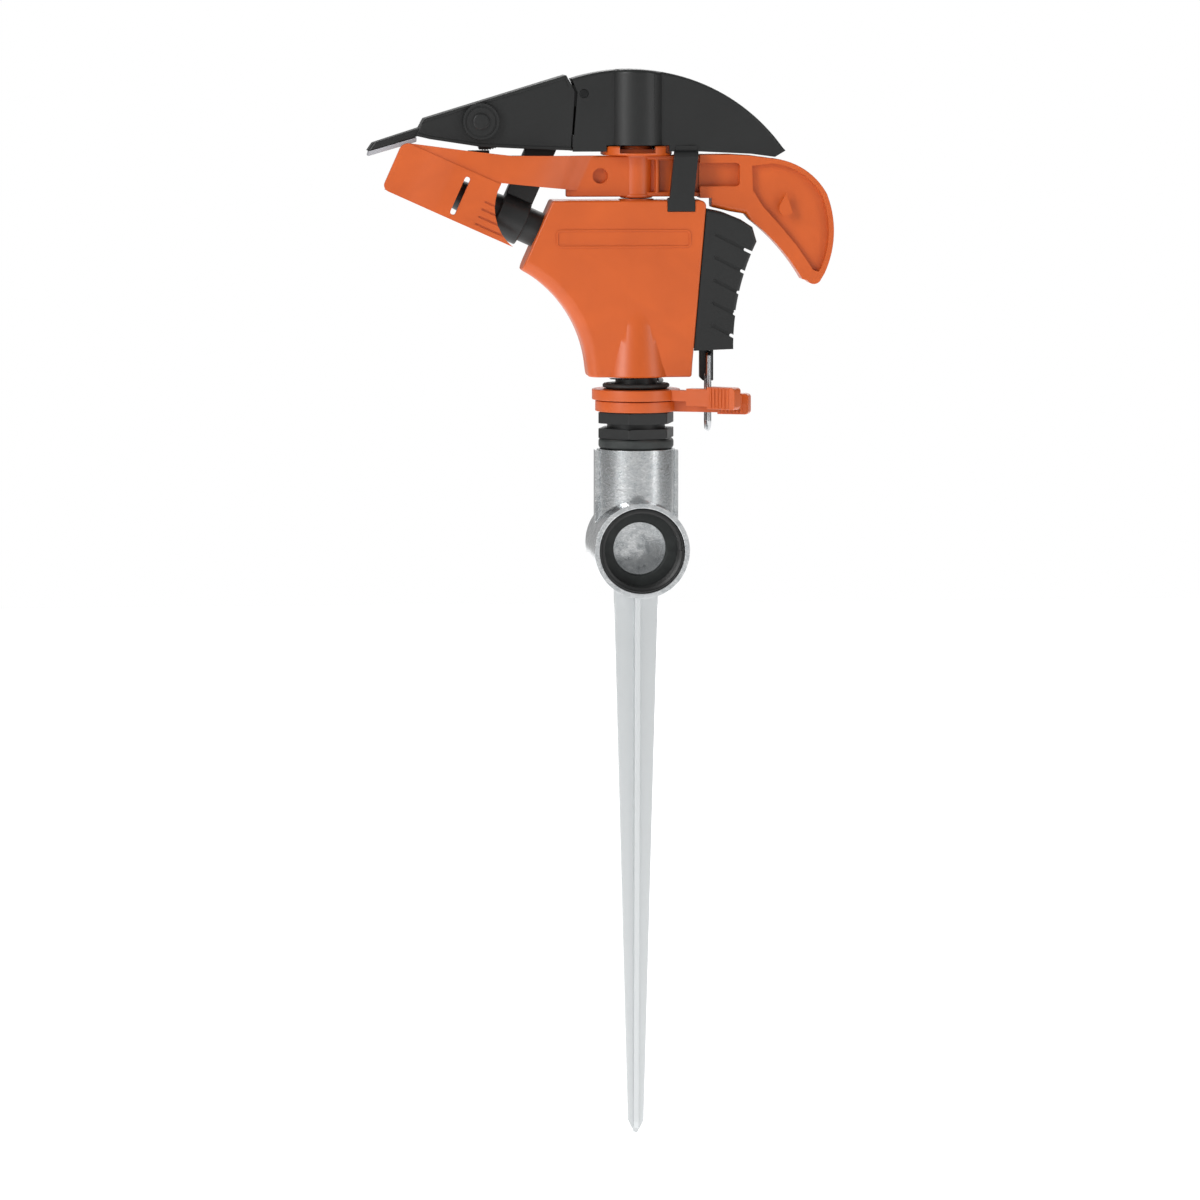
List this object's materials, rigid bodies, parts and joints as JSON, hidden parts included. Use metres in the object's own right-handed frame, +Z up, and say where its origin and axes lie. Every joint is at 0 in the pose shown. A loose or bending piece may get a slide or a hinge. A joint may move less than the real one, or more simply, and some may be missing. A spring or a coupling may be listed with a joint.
{
  "type": "impact sprinkler",
  "caption": "Part-circle impact sprinkler: swinging jet arm, bridging cap with range flap and cam wheel, arc collars with a trip wire, on a die-cast ground spike with a hose inlet.",
  "frame": {"origin": "on the spike's axis, at the ground line just under the hose inlet", "axes": "+Z up along the spike and the turning axis; the nozzle points towards -X at rest; the hose inlet faces -Y"},
  "size_m": [0.1571, 0.0396, 0.3622],
  "materials": {
    "orange_plastic": "injection-moulded ABS, satin",
    "black_plastic": "injection-moulded acetal, satin",
    "grey_plastic": "moulded, plain",
    "white_plastic": "moulded nylon",
    "seal_rubber": "moulded nitrile rubber",
    "zinc_casting": "bright die-cast zinc alloy, fine grain",
    "spring_steel": "drawn stainless wire",
    "pin_steel": "ground stainless rod"
  },
  "bodies": {
    "spike": {"ground_spike": "zinc_casting", "inlet_coupling": "black_plastic", "hose_washer": "seal_rubber", "socket_seal": "seal_rubber", "bearing_nut": "black_plastic"},
    "lower_collar": {"lower_collar": "orange_plastic"},
    "upper_collar": {"upper_collar": "orange_plastic"},
    "head": {"spindle_tube": "black_plastic", "thrust_washers": "white_plastic", "bearing_washer": "seal_rubber", "bearing_spring": "spring_steel", "housing": "orange_plastic", "nozzle": "black_plastic", "nozzle_seal": "seal_rubber", "top_cap": "black_plastic", "fulcrum_pin": "pin_steel", "arm_spring": "spring_steel", "flap_pivot_pin": "pin_steel", "rear_cover": "black_plastic", "trip_pivot_pin": "pin_steel", "trip_spring": "spring_steel"},
    "arm": {"arm": "orange_plastic", "arm_bushing": "white_plastic"},
    "trip_lever": {"trip_lever": "black_plastic"},
    "trip_bail": {"trip_wire": "spring_steel"},
    "flap": {"flap_lever": "black_plastic", "deflector_plate": "grey_plastic", "cam_axle": "black_plastic"},
    "cam_wheel": {"cam_wheel": "black_plastic"}
  },
  "joints": [
    {"name": "head_turn", "type": "hinge", "parent": "spike", "child": "head", "pos_m": [0, 0, 0.0557], "axis": [0, 0, 1], "range_deg": [-3, 308]},
    {"name": "lower_collar_turn", "type": "hinge", "parent": "spike", "child": "lower_collar", "pos_m": [0, 0, 0.0638], "axis": [0, 0, 1], "range_deg": [-4, 3]},
    {"name": "upper_collar_turn", "type": "hinge", "parent": "spike", "child": "upper_collar", "pos_m": [0, 0, 0.0677], "axis": [0, 0, 1], "range_deg": [-305, 5]},
    {"name": "arm_swing", "type": "hinge", "parent": "head", "child": "arm", "pos_m": [0, 0, 0.1426], "axis": [0, 0, 1], "range_deg": [0, 90], "stiffness_Nm_per_rad": 0.02, "springref_deg": -28.65},
    {"name": "trip_swing", "type": "hinge", "parent": "head", "child": "trip_lever", "pos_m": [0.0244, 0, 0.108], "axis": [1, 0, 0], "range_deg": [0, 6]},
    {"name": "bail_flip", "type": "hinge", "parent": "trip_lever", "child": "trip_bail", "pos_m": [0.0243, 0, 0.0813], "axis": [0, -1, 0], "range_deg": [0, 80]},
    {"name": "flap_tilt", "type": "hinge", "parent": "head", "child": "flap", "pos_m": [-0.0181, 0, 0.1689], "axis": [0, 1, 0], "range_deg": [0, 5]},
    {"name": "cam_turn", "type": "hinge", "parent": "flap", "child": "cam_wheel", "pos_m": [-0.0528, 0, 0.1597], "axis": [0, 1, 0], "range_deg": [0, 100]}
  ],
  "couplings": [
    {"joint": "flap_tilt", "follows": "cam_turn", "ratio": 0.05}
  ]
}
